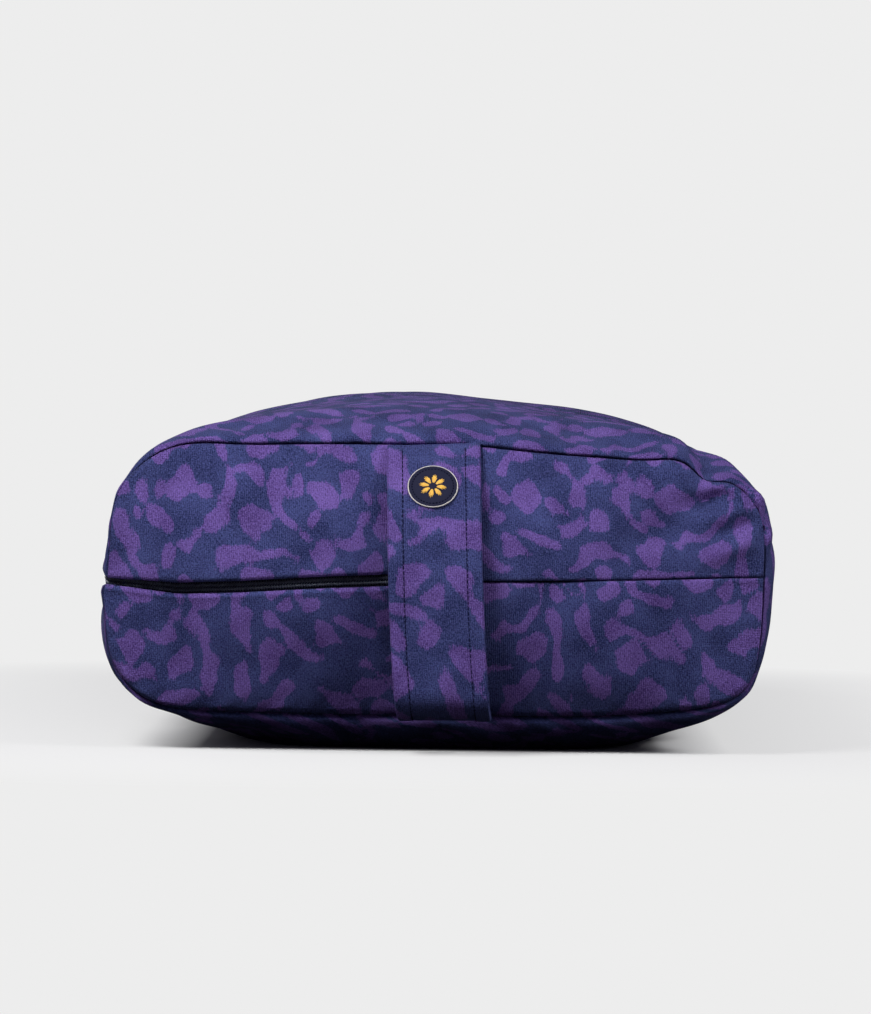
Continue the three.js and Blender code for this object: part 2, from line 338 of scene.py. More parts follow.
def drawn(points):
    """The uneven pulls of the sewn near end, the same for every piece that meets there."""
    moved = points.copy()
    for centre, reach, move in NUDGES:
        away = (points - behind_near(centre)) / np.array(reach)
        moved += np.exp(-np.sum(away**2, -1))[..., None] * np.array(move)
    sag = np.interp(points[..., 0], SAG_X, SAG_Z)
    depth = bell(np.maximum(0, points[..., 1] - NEAR_SEAM), SAG_DEPTH)
    moved[..., 2] += sag * depth * bell(points[..., 2] - AXIS_Z, SAG_REACH)
    return moved


def fold_rise(points):
    rise = np.zeros(points.shape[:-1])
    for first, last, width, height in FOLDS:
        start = behind_near(first)
        line = behind_near(last) - start
        share = np.clip((points - start) @ line / (line @ line), 0, 1)
        nearest = start + share[..., None] * line
        away = np.linalg.norm((points - nearest) * np.array([1, 0.5, 1]), axis=-1)
        faded = 0.35 + 0.65 * np.sin(math.pi * mix(0.15, 0.85, share))
        rise += height * bell(away, width) * faded
    return rise


def surface_normals(points):
    """Normals of a grid whose rows are closed rings."""
    across = np.roll(points, -1, 1) - np.roll(points, 1, 1)
    normal = np.cross(across, np.gradient(points, axis=0))
    return normal / np.maximum(np.linalg.norm(normal, axis=-1, keepdims=True), 1e-9)


def path_lengths(points):
    """How far each point lies along its path, or along its column of a grid."""
    steps = np.linalg.norm(np.diff(points, axis=0), axis=-1)
    return np.concatenate([0 * steps[:1], np.cumsum(steps, 0)])


def grid_faces(rows, columns, closed):
    """Quads over a grid of numbered points, facing along its columns' step crossed with its rows'."""
    r, c = np.meshgrid(np.arange(rows - 1), np.arange(columns if closed else columns - 1), indexing="ij")
    after = (c + 1) % columns
    here = r * columns
    above = here + columns
    corners = np.stack([here + c, here + after, above + after, above + c], -1)
    return corners.reshape(-1, 4)


def new_object(name, data):
    made = bpy.data.objects.new(name, data)
    bpy.context.scene.collection.objects.link(made)
    return made


def capped_faces(rows, columns):
    """Faces over a grid of rings, and fans to the two points after it that close its ends."""
    around = np.arange(columns)
    after = (around + 1) % columns
    last = (rows - 1) * columns
    near_fan = np.stack([np.full(columns, rows * columns), after, around], -1)
    far_fan = np.stack([np.full(columns, rows * columns + 1), last + around, last + after], -1)
    return [*grid_faces(rows, columns, True), *near_fan, *far_fan]


def make_piece(name, points, faces, flats, material, stands_for=(), printed=None):
    """A mesh piece from millimetre points, with a flat coordinate for each corner of each face."""
    mesh = bpy.data.meshes.new(name)
    mesh.from_pydata((np.asarray(points) * MM).tolist(), [], [list(map(int, face)) for face in faces])
    if flats is not None:
        mesh.uv_layers.new(name="weave").data.foreach_set("uv", np.asarray(flats, dtype=np.float32).ravel())
    if printed is not None:
        field = mesh.attributes.new("print", "FLOAT", "POINT")
        field.data.foreach_set("value", print_distance(printed).astype(np.float32))
    mesh.polygons.foreach_set("use_smooth", [True] * len(mesh.polygons))
    mesh.materials.append(material)
    mesh.validate()
    piece = new_object(name, mesh)
    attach(piece, "root")
    if stands_for:
        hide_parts(*stands_for)
    return piece


def print_placed(flat, offset, turn=0, scale=0.96):
    """Where points of a piece lie on the printed cloth that it was cut from."""
    cos, sin = math.cos(math.radians(turn)) * scale, math.sin(math.radians(turn)) * scale
    turned = np.stack([flat[..., 0] * cos - flat[..., 1] * sin, flat[..., 0] * sin + flat[..., 1] * cos], -1)
    return turned + np.array(offset)


# Print


# The print's repeat in millimetres, with the middle and radius of each of its rosettes
TILE = np.array([156.0, 132.0])
ROSETTES = [(22, 106, 19), (80, 92, 21), (132, 108, 18), (44, 42, 21), (108, 38, 19)]
LOOSE_STROKES = 9
LOOSE_SPOTS = 38
FIELD_STEP = 1.0


def nearest_way(away):
    """The shortest of the ways between two places of a print that repeats."""
    return away - TILE * np.round(away / TILE)


def brush(x, y, turn, length, width, bend, draw):
    """A brush stroke as a row of round dabs, each x, y and radius."""
    t = np.linspace(0, 1, 12)
    heading = np.radians(turn + bend * (t - 0.5))
    dabs = np.cumsum(np.stack([np.cos(heading), np.sin(heading)], -1), 0) * length / len(t)
    dabs += np.array([x, y]) - dabs.mean(0)
    wave = np.sin(t * draw.uniform(5, 10) + draw.uniform(0, 6.28))
    radius = width / 2 * (0.72 + 0.28 * wave) * (1 - 0.45 * (2 * t - 1) ** 4)
    return np.append(dabs, radius[:, None], 1)


def rosette(x, y, radius, draw):
    """A spot with a broken ring of strokes round it."""
    spot_width = radius * draw.uniform(0.5, 0.72)
    strokes = [brush(x, y, draw.uniform(0, 180), draw.uniform(2, 6), spot_width, 40, draw)]
    count = 3 if radius < 20 else 4
    start = draw.uniform(0, 360)
    for number in range(count):
        sweep = 360 / count * draw.uniform(0.6, 0.95)
        bearing = start + number * 360 / count + draw.uniform(-10, 10)
        out = radius * draw.uniform(0.92, 1.1)
        place = out * np.array([math.cos(math.radians(bearing)), 0.86 * math.sin(math.radians(bearing))])
        length = 2 * math.pi * out * sweep / 360
        width = draw.uniform(7, 11)
        strokes.append(brush(x + place[0], y + place[1], bearing + 90, length, width, sweep, draw))
    return strokes


def room_at(places, dabs):
    away = nearest_way(places[:, None] - dabs[None, :, :2])
    return (np.linalg.norm(away, axis=-1) - dabs[None, :, 2]).min(1)


def loose_mark(dabs, long, draw):
    """A stroke or spot where the print has most room for it, turned the freest way."""
    tries = draw.uniform(0, 1, (300, 2)) * TILE
    room = room_at(tries, dabs)
    x, y = tries[np.argmax(room)]
    size = min(room.max() - 2.1, 5.8)
    length, width, bend = (6.0, 1.6, draw.uniform(-80, 80)) if long else (1.3, 2.0, 30)
    ways = [brush(x, y, turn, size * length, size * width, bend, draw) for turn in range(0, 180, 20)]
    free = [(room_at(way[:, :2], dabs) - way[:, 2]).min() for way in ways]
    return ways[int(np.argmax(free))]


def print_dabs():
    draw = np.random.default_rng(5)
    dabs = np.concatenate([stroke for place in ROSETTES for stroke in rosette(*place, draw)])
    for number in range(LOOSE_STROKES + LOOSE_SPOTS):
        dabs = np.append(dabs, loose_mark(dabs, number < LOOSE_STROKES, draw), 0)
    return dabs


def print_field():
    """Distance to the nearest mark's edge over one repeat, under 0 inside a mark."""
    places = np.stack(np.meshgrid(*[np.arange(0, size, FIELD_STEP) for size in TILE], indexing="ij"), -1)
    dabs = print_dabs()
    field = np.full(places.shape[:2], 99.0)
    for dab in dabs:
        field = np.minimum(field, np.linalg.norm(nearest_way(places - dab[:2]), axis=-1) - dab[2])
    return field


FIELD = print_field()


def print_distance(place):
    """Distance to the nearest mark's edge at places on the printed cloth, which lies a little unevenly."""
    uneven = np.stack([ripples(place, 60, 71), ripples(place, 60, 72)], -1) * 2.2
    uneven += np.stack([ripples(place, 17, 73), ripples(place, 17, 74)], -1) * 1.1
    cell = (place + uneven) / FIELD_STEP
    first = np.floor(cell).astype(int)
    share = cell - first
    value = 0
    for across in (0, 1):
        for up in (0, 1):
            weight = np.abs(1 - across - share[..., 0]) * np.abs(1 - up - share[..., 1])
            corner = (first + (across, up)) % FIELD.shape
            value = value + weight * FIELD[corner[..., 0], corner[..., 1]]
    return value + 0.55 * ripples(place, 8, 75)


# Wrap


def wrap_surface():
    """Rings of the wrap from the near seam to the far one, each from the left slit over the top and back."""
    rows = np.linspace(0, 1, WRAP_ROWS)
    swing = math.pi * mix(rows, rows**2 * (3 - 2 * rows), 0.15)
    along = -np.cos(swing)
    angle = np.linspace(math.pi, -math.pi, 1441)
    rings, starts = [], []
    for place in along:
        x, h = outline(angle, place)
        length = np.concatenate([[0], np.cumsum(np.hypot(np.diff(x), np.diff(h)))])
        whole = length[-1]
        plain = np.linspace(SLIT_STEPS[-1], whole - SLIT_STEPS[-1], WRAP_AROUND)[1:-1]
        at = np.concatenate([[0], SLIT_STEPS, plain, whole - SLIT_STEPS[::-1]])
        y = MIDDLE_Y + place * HALF_SPAN
        rings.append(settled(np.interp(at, length, x), y, np.interp(at, length, h)))
        starts.append(np.stack([at - np.interp(math.pi / 2, angle[::-1], length[::-1]), at], -1))
    return np.array(rings), np.array(starts)


def slit_groove(points, from_slit):
    """How far the left side's slit sinks: deep and wide along the zip, a plain seam behind it."""
    behind = points[..., 1] - NEAR_SEAM
    plain = smooth(behind, ZIP_ALONG_SIDE - 2, ZIP_ALONG_SIDE + 7)
    corner = bell(behind, 16)
    half = mix(CORNER_SLIT_HALF, SLIT_HALF, smooth(behind, 4, 40))
    zip_part = (SLIT_DEPTH + CORNER_DEEPER * corner) * np.exp(-((from_slit / half) ** 6))
    return mix(zip_part, groove(from_slit, *SIDE_ROLL), plain)


def wrap_points():
    base, lengths = wrap_surface()
    round_ring = lengths[..., 1]
    from_slit = np.minimum(round_ring, round_ring[:, :1] + round_ring[:, -1:] + SLIT_STEPS[0] - round_ring)
    down = path_lengths(base)
    from_end = np.minimum(down, down[-1:] - down)
    normal = surface_normals(base)
    floor_fade = smooth(base[..., 2], 0.5, 14)
    round_seam = np.stack([lengths[..., 0], 0 * down + base[..., 1] * 0.02], -1)
    rise = -groove(from_end, *END_ROLL) * seam_show(base[..., 0], base[..., 2] - AXIS_Z)
    rise += 0.42 * ripples(round_seam, 11, 3) * np.exp(-from_end / 7) * smooth(from_end, 0.3, 3)
    rise += 0.35 * ripples(round_seam, 26, 4) * np.exp(-from_end / 22) * smooth(from_end, 0.3, 6)
    rise += floor_fade * (0.9 * ripples(base, 120, 5) + 0.32 * ripples(base, 42, 6)) * smooth(from_end, 2, 30)
    rise += floor_fade * fold_rise(base)
    points = base + normal * rise[..., None]
    points[..., 0] += slit_groove(base, from_slit)
    zip_share = smooth(base[..., 1] - NEAR_SEAM, ZIP_ALONG_SIDE + 6, ZIP_ALONG_SIDE)
    points[..., 0] -= SLIT_LIP * (bell(from_slit - SLIT_HALF - 2.2, 2.0) * zip_share)
    points = drawn(points)
    free = smooth(from_end, 0, 26) * smooth(from_slit, 6, 14) * floor_fade
    points += cloth_moves(points) * free[..., None]
    points[..., 2] = np.maximum(points[..., 2], 0)
    return points, np.stack([lengths[..., 0], down], -1)


def trial_cloth(points):
    """A coarse copy of the wrap, ready to settle: held at its end seams, along its slit and on the floor."""
    rows, columns = points.shape[:2]
    mesh = bpy.data.meshes.new("trial_cloth")
    mesh.from_pydata((points.reshape(-1, 3) * MM).tolist(), [], grid_faces(rows, columns, True).tolist())
    trial = new_object("trial_cloth", mesh)
    index = np.arange(rows * columns).reshape(rows, columns)
    slit = index[:, [0, 1, -2, -1]].ravel()
    held = np.concatenate([index[:2].ravel(), index[-2:].ravel(), slit, index[points[..., 2] < 0.5]])
    trial.vertex_groups.new(name="held").add(np.unique(held).tolist(), 1.0, "REPLACE")
    cloth = trial.modifiers.new("cloth", "CLOTH")
    cloth.settings.quality = 5
    cloth.settings.mass = 0.2
    cloth.settings.vertex_group_mass = "held"
    cloth.settings.shrink_min = -CLOTH_EASE
    cloth.settings.use_pressure = True
    cloth.settings.uniform_pressure_force = CLOTH_PRESSURE
    cloth.settings.effector_weights.gravity = 0
    cloth.collision_settings.use_collision = False
    cloth.point_cache.frame_end = CLOTH_FRAMES
    return trial


def spread_out(field, passes):
    """A field over the wrap's rings, smoothed by averaging each place with its neighbours."""
    for _ in range(passes):
        tall = np.concatenate([field[:1], field, field[-1:]])
        field = (tall[:-2] + tall[2:] + np.roll(field, 1, 1) + np.roll(field, -1, 1)) / 4
    return field


def between(values, places, count):
    """Values known for some rows, worked out for every row up to a count."""
    at = np.arange(count)
    after = np.clip(np.searchsorted(places, at, side="right"), 1, len(places) - 1)
    share = (at - places[after - 1]) / (places[after] - places[after - 1])
    return mix(values[after - 1], values[after], share[:, None, None])


def cloth_moves(points):
    """How the wrap's cloth moves as it settles over the filling, without its even swelling."""
    rows = np.unique(np.linspace(0, len(points) - 1, CLOTH_ROWS).astype(int))
    columns = np.unique(np.linspace(0, points.shape[1] - 1, CLOTH_AROUND).astype(int))
    coarse = points[rows][:, columns]
    trial = trial_cloth(coarse)
    for number in range(1, CLOTH_FRAMES + 1):
        bpy.context.scene.frame_set(number)
    done = trial.evaluated_get(bpy.context.evaluated_depsgraph_get()).data
    places = np.empty(coarse.size, dtype=np.float32)
    done.vertices.foreach_get("co", places)
    moves = places.reshape(coarse.shape) / MM - coarse
    bpy.data.objects.remove(trial)
    bpy.context.scene.frame_set(1)
    moves -= spread_out(moves, 30)
    length = np.linalg.norm(moves, axis=-1, keepdims=True)
    moves *= np.minimum(1, CLOTH_LIMIT / np.maximum(length, 1e-9))
    moves = between(moves, rows, len(points)).swapaxes(0, 1)
    return spread_out(between(moves, columns, points.shape[1]).swapaxes(0, 1), 10)


def turned_in(ring, side):
    """Rings that carry an end's cloth inwards behind its panel and over the filling, to a middle point."""
    centre = np.array([0, AXIS_Z])
    rings = []
    for share, behind in [(0.986, 2.0), (0.965, 5.5), (0.9, None), (0.75, None), (0.5, None), (0.2, None)]:
        flat = centre + (ring[:, [0, 2]] - centre) * share
        crowned = crown(flat[:, 0], flat[:, 1] - AXIS_Z)
        seam = NEAR_SEAM if side < 0 else FAR_SEAM
        y = ring[:, 1] - side * behind if behind else seam + side * (crowned - 7.5)
        rings.append(np.stack([flat[:, 0], y, flat[:, 1]], -1))
    middle = np.array([0, (NEAR_SEAM if side < 0 else FAR_SEAM) + side * (END_CROWN - 7.5), AXIS_Z])
    return rings, middle


def make_wrap(material):
    grid, flats = wrap_points()
    near, near_middle = turned_in(grid[0], -1)
    far, far_middle = turned_in(grid[-1], 1)
    rings = np.array([*near[::-1], *grid, *far])
    rows, columns = rings.shape[:2]
    hem = np.arange(1, len(near) + 1) * 4.0
    before = np.stack([flats[0] - [0, d] for d in hem[::-1]])
    after = np.stack([flats[-1] + [0, d] for d in hem])
    flats = np.concatenate([before, flats, after])
    printed = np.concatenate([flats.reshape(-1, 2), [[0, 0], [0, 0]]])
    flats = np.concatenate([flats, flats[:, -1:] + [SLIT_STEPS[0], 0]], 1)
    corners = [flats[:-1, :-1], flats[:-1, 1:], flats[1:, 1:], flats[1:, :-1]]
    weave = np.stack(corners, 2).reshape(-1, 2)
    points = np.concatenate([rings.reshape(-1, 3), [near_middle, far_middle]])
    fan_corners = 2 * 3 * columns
    weave = np.concatenate([weave, np.zeros((fan_corners, 2))])
    printed = print_placed(printed, offset=(31, 12))
    faces = capped_faces(rows, columns)
    piece = make_piece("cloth_wrap", points, faces, weave, material, ["body"], printed)


# End panels


def closed_sheet(outer, inner, flat):
    """Points, faces and corner flats of a closed sheet between two grids of the same size."""
    rows, columns = outer.shape[:2]
    count = rows * columns
    front = grid_faces(rows, columns, False)
    back = front[:, ::-1] + count
    index = np.arange(count).reshape(rows, columns)
    rim = np.concatenate([index[0], index[1:, -1], index[-1, -2::-1], index[-2:0:-1, 0]])
    after = np.roll(rim, -1)
    side = np.stack([rim, rim + count, after + count, after], -1)
    faces = np.concatenate([front, back, side])
    points = np.concatenate([outer.reshape(-1, 3), inner.reshape(-1, 3)])
    flats = flat.reshape(-1, 2)[faces.ravel() % count]
    return points, faces, flats


def make_sheet(name, node, layers, material, slot, **placed):
    """A closed sheet in a node's place. A printed one also says where it lies on the printed cloth."""
    outer, inner, flat = layers
    points, faces, flats = closed_sheet(outer, inner, flat)
    printed = print_placed(np.tile(flat.reshape(-1, 2), (2, 1)), **placed) if placed else None
    return make_piece(name, points, faces, flats, material, [node], printed)


def slit_edge(x):
    """How far a near panel half stays from the middle line."""
    open_half = mix(CORNER_SLIT_HALF, SLIT_HALF, smooth(x, -HALF_WIDE, -HALF_WIDE + 40))
    return mix(open_half, PLAIN_HALF, smooth(x, *EDGES_MEET))


def panel_places(low, high, side):
    """A panel's grid as x and height over the axis, fine at its edges and squeezed to the seam's outline."""
    across = graded(2 * HALF_WIDE, 0.3, 1.9, 14) / HALF_WIDE - 1
    up = low + graded((high - low) * HALF_TALL, 0.25, 1.7, 9) / HALF_TALL
    u, v = np.meshgrid(-side * across, up)
    if side < 0:
        edge = slit_edge(HALF_WIDE * u) / HALF_TALL
        v = mix(edge, 1, v) if high > 0 else mix(-edge, -1, -v)
    quarter = np.where(v >= 0, np.where(u >= 0, 0, 1), np.where(u < 0, 2, 3))
    power = AT_SEAM[quarter]
    biggest = np.maximum(np.maximum(np.abs(u), np.abs(v)), 1e-6)
    bulge = np.maximum(np.abs(u) ** power + np.abs(v) ** power, 1e-12) ** (1 / power)
    squeezed = biggest / bulge
    x = (HALF_WIDE - PANEL_INSET) * u * squeezed
    h = (HALF_TALL - PANEL_INSET) * v * squeezed
    return x, h


def sunk_at_middle(x, h, middle, upper, seed):
    """How far a near panel half sinks at its edge along the zip and the middle seam."""
    from_middle = np.abs(h) - slit_edge(x)
    lip, folded_share, sewn_share = (0.15, 0.7, 0.6) if upper else (0.5, 1.0, 1.0)
    folded = groove(from_middle, *FOLD_ROLL) * folded_share - lip * bell(from_middle - 1.8, 1.5)
    sewn = groove(from_middle, *MIDDLE_ROLL) * sewn_share
    sewn = sewn - 0.12 * ripples(middle, 9, seed) * bell(from_middle - 2, 4)
    return mix(sewn, folded, 1 - smooth(x, *EDGES_MEET))


def panel_layers(low, high, side, seed):
    """A panel between two shares of the end's half height, -1 at the lower seam and 1 at the upper one."""
    parted = side < 0
    x, h = panel_places(low, high, side)
    seam = NEAR_SEAM if parted else FAR_SEAM
    from_seam = np.maximum(0, seam_distance(x, h) - PANEL_INSET)
    middle = np.stack([x, 0 * x + seam, h + AXIS_Z], -1)
    lift = crown(x, h) + GAP + SHEET + (ridge(x, h) if parted else 0)
    lift -= groove(from_seam, *PANEL_ROLL) * seam_show(x, h)
    lift -= 1.5 * (1 - seam_show(x, h)) * bell(from_seam, 4)
    round_seam = np.stack([np.arctan2(h * 2, x) * 100, 0 * x], -1)
    lift += 0.34 * ripples(round_seam, 10, seed) * np.exp(-from_seam / 6) * smooth(from_seam, 0.4, 3)
    uneven = 0.9 * ripples(middle, 105, seed + 1) + 0.3 * ripples(middle, 38, seed + 2)
    lift += smooth(from_seam, 2, 26) * uneven
    lift += smooth(from_seam, 0, 6) * fold_rise(middle)
    if parted:
        lift -= sunk_at_middle(x, h, middle, high > 0, seed + 3)
        under_handle = smooth(np.abs(x - mix(HANDLE_BOTTOM_X, HANDLE_TOP_X, high)), 26, 21)
        lift -= 2.0 * under_handle * bell(from_seam, 5)
    backing = np.minimum(crown(x, h) + (GAP + ridge(x, h) if parted else GAP), lift - 0.6)
    outer = settled(x, seam + side * lift, h)
    inner = settled(x, seam + side * backing, h)
    if parted:
        outer, inner = drawn(outer), drawn(inner)
    return outer, inner, np.stack([-side * x, h], -1)


def make_panel(name, node, low, high, side, seed, offset, material):
    layers = panel_layers(low, high, side, seed)
    piece = make_sheet(name, node, layers, material, "printed_cloth", offset=offset)


# Zip


def zip_path(count):
    """Places along the middle line of the zip, in plan, with the direction that faces out of the cloth."""
    front_x = np.linspace(ZIP_START_X, -HALF_WIDE + ZIP_BEND, 60)
    front = np.stack([front_x, NEAR_SEAM - crown(front_x, 0 * front_x) - ridge(front_x, 0 * front_x)], -1)
    side_y = np.linspace(NEAR_SEAM + ZIP_BEND, NEAR_SEAM + ZIP_ALONG_SIDE, 90)
    side = np.stack([-half_width((side_y - MIDDLE_Y) / HALF_SPAN), side_y], -1)
    t = np.linspace(0, 1, 14)[1:-1, None]
    corner = np.array([-HALF_WIDE - CORNER_OUT, NEAR_SEAM])
    bend = (1 - t) ** 2 * front[-1] + 2 * t * (1 - t) * corner + t**2 * side[0]
    path = np.concatenate([front, bend, side])
    length = path_lengths(path)
    even = np.linspace(0, length[-1], count)
    path = np.stack([np.interp(even, length, path[:, k]) for k in (0, 1)], -1)
    ahead = unit(np.gradient(path, axis=0))
    outwards = np.stack([-ahead[:, 1], ahead[:, 0]], -1)
    near_bend = bell(path[:, 1] - NEAR_SEAM - CORNER_PUSH_AT, CORNER_PUSH_REACH)
    path = path + outwards * CORNER_PUSH * near_bend[:, None]
    return path, ahead, outwards, even


def beside(path, outwards, out, height):
    """Points that stand out from the zip's path and above its middle line."""
    plan = path[:, None] + outwards[:, None] * np.asarray(out)[None, :, None]
    tall = np.broadcast_to(AXIS_Z + np.asarray(height), plan.shape[:2])
    return np.concatenate([plan, tall[..., None]], -1)


def make_tape(material):
    path, _, outwards, even = zip_path(260)
    low, high = TAPE_OFFSETS
    height = graded(2 * TAPE_HALF, 0.5, 0.8, 2) - TAPE_HALF
    ribs = 0.25 * np.cos(height * math.pi / 1.6) * smooth(np.abs(height), 3.2, 2.6)
    outer = drawn(beside(path, outwards, high + ribs, height))
    inner = drawn(beside(path, outwards, low + 0 * height, height))
    flat = np.stack(np.meshgrid(height, even), -1)
    layers = [layer.swapaxes(0, 1) for layer in (outer, inner, flat)]
    piece = make_sheet("zip_tape_woven", "zip_tape", layers, material, "zip_tape")


def rods(centres, sideways, normals, radius, segments):
    """Closed rods, one round each row of centres. Sideways and normals span their sections."""
    many, steps = centres.shape[:2]
    turn = np.linspace(0, 2 * math.pi, segments, endpoint=False)
    thick = np.asarray(radius)[None, :, None, None]
    circle = sideways[:, :, None] * np.cos(turn)[:, None] + normals[:, :, None] * np.sin(turn)[:, None]
    points = (centres[:, :, None] + circle * thick).reshape(-1, 3)
    side = grid_faces(steps, segments, True)
    caps = [list(range(segments))[::-1], [(steps - 1) * segments + k for k in range(segments)]]
    faces = []
    for rod in range(many):
        first = rod * steps * segments
        faces.extend((side + first).tolist())
        faces.extend([[k + first for k in cap] for cap in caps])
    return points, faces


def make_teeth(name, node, up, material):
    """One closed row of the coil: an arched loop of plastic for every tooth, over a cord that they share."""
    length = zip_path(900)[-1][-1]
    count = int(length / TOOTH_PITCH)
    path, ahead, outwards, _ = zip_path(count)
    arch_out = np.array([-4.2, -3.5, -3.1, -3.1, -3.4, -4.1])
    arch_up = up * np.array([0.3, 0.36, 0.75, 1.3, 1.75, 1.85])
    centres = beside(path, outwards, arch_out, arch_up)
    lean = up * 0.24 * np.linspace(-1, 1, arch_out.size)
    centres[..., :2] += ahead[:, None] * lean[None, :, None]
    sideways = np.broadcast_to(np.append(ahead, np.zeros((count, 1)), 1)[:, None], centres.shape)
    normals = unit(np.cross(sideways, np.gradient(centres, axis=1)))
    points, faces = rods(drawn(centres), sideways, normals, [0.24, 0.34, 0.36, 0.36, 0.34, 0.24], 6)
    core, core_faces = make_core(up)
    faces = [*faces, *[[k + len(points) for k in face] for face in core_faces]]
    points = np.concatenate([points, core])
    make_piece(name, points, faces, None, material, [node])


def make_core(up):
    """The cord inside one row of the coil."""
    path, _, outwards, _ = zip_path(200)
    centres = beside(path, outwards, [-3.9], [up * 1.05]).swapaxes(0, 1)
    sideways = np.broadcast_to([0.0, 0.0, 1.0], centres.shape)
    normals = np.append(outwards, np.zeros((len(path), 1)), 1)[None]
    return rods(drawn(centres), sideways, normals * -1, np.full(len(path), 0.5), 8)


# Handle


def handle_stand(z):
    """How far the handle's inner face stands out from the seam's plane."""
    above = z > HANDLE_FULL_Z
    reach = np.where(above, AXIS_Z + HALF_TALL - HANDLE_FULL_Z, HANDLE_FULL_Z - END_LIFT)
    arch = HANDLE_STAND * (1 - (np.abs(z - HANDLE_FULL_Z) / reach) ** np.where(above, 2, 16))
    return np.maximum(arch, crown(0 * z, z - AXIS_Z) + GAP + SHEET + HANDLE_CLEAR)


def handle_frame(z):
    """Seat on the handle's inner face, and the directions across it, along it and out of it."""
    step = 0.5
    growth = handle_stand(z + step) - handle_stand(z - step)
    out = unit(np.stack([0 * z, 0 * z - 2 * step, -growth], -1))
    share = np.clip((z - END_LIFT) / (2 * HALF_TALL), 0, 1)
    centre = mix(HANDLE_BOTTOM_X, HANDLE_TOP_X, share) - HANDLE_BOW * np.sin(math.pi * share**0.6)
    seat = np.stack([centre, NEAR_SEAM - handle_stand(z), z], -1)
    lean = (HANDLE_TOP_X - HANDLE_BOTTOM_X) / (2 * HALF_TALL)
    along = unit(np.stack([lean + 0 * z, -growth / (2 * step), 1 + 0 * z], -1))
    across = np.cross(out, along)
    return seat, across, along, out


def handle_section():
    """Half of the handle's section as offsets across it, with how far the faces are drawn in near an edge."""
    offsets = graded(HANDLE_WIDTH, 0.22, 1.1, 5) - HANDLE_WIDTH / 2
    from_edge = HANDLE_WIDTH / 2 - np.abs(offsets)
    radius = HANDLE_THICK / 2
    rounded = radius - np.sqrt(np.maximum(0, radius**2 - np.maximum(0, radius - from_edge) ** 2))
    hem = 0.35 * smooth(from_edge, STITCH_INSET + 1.2, STITCH_INSET - 1.2)
    topstitch = 0.55 * bell(from_edge - STITCH_INSET, 0.6)
    return offsets, rounded, hem - topstitch


def handle_wave(offset, down, whole):
    """The handle's own slight unevenness, at places across it and along it."""
    flat = np.stack(np.broadcast_arrays(offset, down), -1)
    from_end = np.minimum(flat[..., 1], whole - flat[..., 1])
    return (0.55 * ripples(flat, 46, 21) + 0.16 * ripples(flat, 15, 22)) * smooth(from_end, 1, 14)


def make_handle(material):
    z = HANDLE_LOW + graded(HANDLE_HIGH - HANDLE_LOW, 0.2, 1.1, 14)
    seat, across, _, out = handle_frame(z)
    offsets, rounded, relief = handle_section()
    down = path_lengths(seat)
    from_end = np.minimum(down, down[-1] - down)
    tuck = 4.6 * np.exp(-((from_end / 2.4) ** 1.5))
    thin = 0.8 * np.exp(-((from_end / 3.0) ** 1.5))
    flat = np.stack(np.meshgrid(offsets, down), -1)
    wave = handle_wave(offsets[None], down[:, None], down[-1])
    centre = seat[:, None] + across[:, None] * offsets[None, :, None]
    centre[..., 1] += tuck[:, None]
    outer_lift = HANDLE_THICK - rounded + relief + wave - thin[:, None]
    inner_lift = rounded + wave
    outer = centre + out[:, None] * outer_lift[..., None]
    inner = centre + out[:, None] * np.minimum(inner_lift, outer_lift - 0.05)[..., None]
    placed = dict(offset=(64, 20), turn=78, scale=0.66)
    layers = (outer, inner, flat)
    piece = make_sheet("handle_band", "handle_strap", layers, material, "printed_cloth", **placed)


def on_handle(z, offset, lift):
    """Points over the handle's outer face, with the face's directions there."""
    seat, across, along, out = handle_frame(z)
    place = seat + across * np.asarray(offset)[..., None] + out * (HANDLE_THICK + lift)
    return place, across, along, out


def make_topstitch(material):
    """Two lines of short stitches down the handle."""
    pitch, length = 2.4, 2.15
    dense = np.linspace(HANDLE_LOW, HANDLE_HIGH, 600)
    down = path_lengths(handle_frame(dense)[0])
    starts = 1.5 + np.arange(int((down[-1] - 3.0) / pitch)) * pitch
    at = starts[:, None] + length * np.linspace(0, 1, 5)
    sink = np.array([-0.3, -0.06, 0.0, -0.06, -0.3])
    z = np.interp(at, down, dense)
    rows = []
    for line in (-1, 1):
        offset = line * (HANDLE_WIDTH / 2 - STITCH_INSET) + 0 * z
        lift = handle_wave(offset, at, down[-1]) + sink
        place, across, _, out = on_handle(z, offset, lift[..., None])
        rows.append((place, across, out))
    centres, sideways, normals = [np.concatenate([row[k] for row in rows]) for k in range(3)]
    points, faces = rods(centres, sideways, normals, [0.12, 0.22, 0.25, 0.22, 0.12], 6)
    make_piece("handle_topstitch", points, faces, None, material)


# Badge


# The badge's section from its middle out over the rim and back underneath, each a radius and a height
BADGE_PROFILE = [
    (0.0, 0.85), (2.5, 0.86), (5.0, 0.85), (7.4, 0.82), (8.8, 0.78), (9.3, 0.62), (9.7, 0.6),
    (10.1, 0.72), (10.6, 0.74), (11.0, 0.7), (11.08, 0.6), (11.14, 0.6), (11.22, 0.7), (11.4, 0.7),
    (11.55, 0.55), (11.6, 0.3), (11.45, 0.0), (8.0, 0.0), (4.0, 0.0), (0.0, 0.0),
]
# First and last ring of the pale rim, counted from 0 next to the middle
RIM_FIRST = 10
RIM_LAST = 16


def badge_frame(turn):
    """The badge's middle, the directions from it at some turns, and the direction out of it."""
    centre, across, along, out = on_handle(np.array(BADGE_Z), BADGE_X, BADGE_CLEAR)
    return centre, np.cos(turn)[..., None] * across + np.sin(turn)[..., None] * along, out


